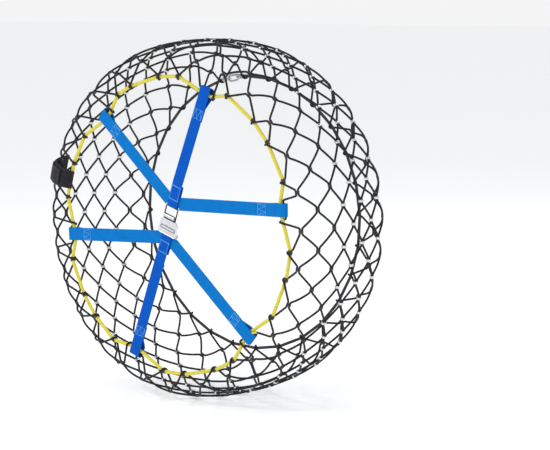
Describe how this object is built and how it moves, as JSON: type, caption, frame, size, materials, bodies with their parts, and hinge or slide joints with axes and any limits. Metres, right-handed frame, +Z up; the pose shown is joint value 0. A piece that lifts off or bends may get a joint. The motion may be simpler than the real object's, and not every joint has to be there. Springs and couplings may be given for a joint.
{
  "type": "textile tyre snow chain",
  "caption": "Diamond net of braided cord for a car tyre, with steel road clips, six webbing straps and a hook-and-ring buckle at the hub.",
  "frame": {"origin": "centre of the wheel that the chain sits on: on the axle, midway between the two shoulders of the tyre", "axes": "+Y along the axle towards the car, -Y outboard (the buckle's side), +Z up with the buckle's ring above its plate, +X to the right seen from outboard"},
  "size_m": [0.698, 0.2678, 0.6992],
  "materials": {
    "black_cord": "matt braided polyester cord",
    "yellow_cord": "matt braided cord",
    "inner_yarn": "matt braided cord",
    "dark_blue_webbing": "woven webbing",
    "light_blue_webbing": "woven webbing",
    "tab_cloth": "matt coated textile",
    "bright_steel": "bright plated steel",
    "dark_steel": "dark plated steel wire",
    "panel_plastic": "satin"
  },
  "bodies": {
    "chain": {"closing_tab": "tab_cloth", "closing_tab_flap": "tab_cloth", "gate_pin": "bright_steel", "inner_cord": "inner_yarn", "inner_eye": "bright_steel", "inner_hook": "bright_steel", "net_row_01": "black_cord", "net_row_02": "black_cord", "net_row_03": "black_cord", "net_row_04": "black_cord", "net_row_05": "black_cord", "net_row_06": "black_cord", "net_row_07": "black_cord", "net_row_08": "black_cord", "net_row_09": "black_cord", "net_row_10": "black_cord", "net_row_11": "black_cord", "outer_cord": "yellow_cord", "outer_cord_sleeve": "dark_steel", "road_clip_01": "bright_steel", "road_clip_02": "bright_steel", "road_clip_03": "bright_steel", "road_clip_04": "bright_steel", "road_clip_05": "bright_steel", "road_clip_06": "bright_steel", "road_clip_07": "bright_steel", "road_clip_08": "bright_steel", "road_clip_09": "bright_steel", "road_clip_10": "bright_steel", "road_clip_11": "bright_steel", "road_clip_12": "bright_steel", "road_clip_13": "bright_steel", "road_clip_14": "bright_steel", "road_clip_15": "bright_steel", "road_clip_16": "bright_steel", "road_clip_17": "bright_steel", "road_clip_18": "bright_steel", "road_clip_19": "bright_steel", "road_clip_20": "bright_steel", "road_clip_21": "bright_steel", "road_clip_22": "bright_steel", "strap_bar": "bright_steel", "strap_left": "light_blue_webbing", "strap_lower_left": "dark_blue_webbing", "strap_lower_right": "light_blue_webbing", "strap_right": "light_blue_webbing", "strap_upper_left": "light_blue_webbing", "strap_upper_right": "dark_blue_webbing"},
    "ring": {"link_ring": "dark_steel"},
    "plate": {"hook_plate": "bright_steel", "label_panel": "panel_plastic"},
    "gate": {"inner_gate": "bright_steel"}
  },
  "joints": [
    {"name": "ring_swing", "type": "hinge", "parent": "chain", "child": "ring", "pos_m": [0.01592, -0.1365, 0.03318], "axis": [-0.9494, 0, 0.314], "range_deg": [0, 110]},
    {"name": "plate_tilt", "type": "hinge", "parent": "chain", "child": "plate", "pos_m": [-0.0015, -0.1292, -0.01952], "axis": [-0.9494, 0, 0.314], "range_deg": [0, 15]},
    {"name": "gate_open", "type": "hinge", "parent": "chain", "child": "gate", "pos_m": [-0.03409, 0.11399, 0.27504], "axis": [0, -1, 0], "range_deg": [0, 30], "stiffness_Nm_per_rad": 0.05, "springref_deg": -17.19}
  ]
}
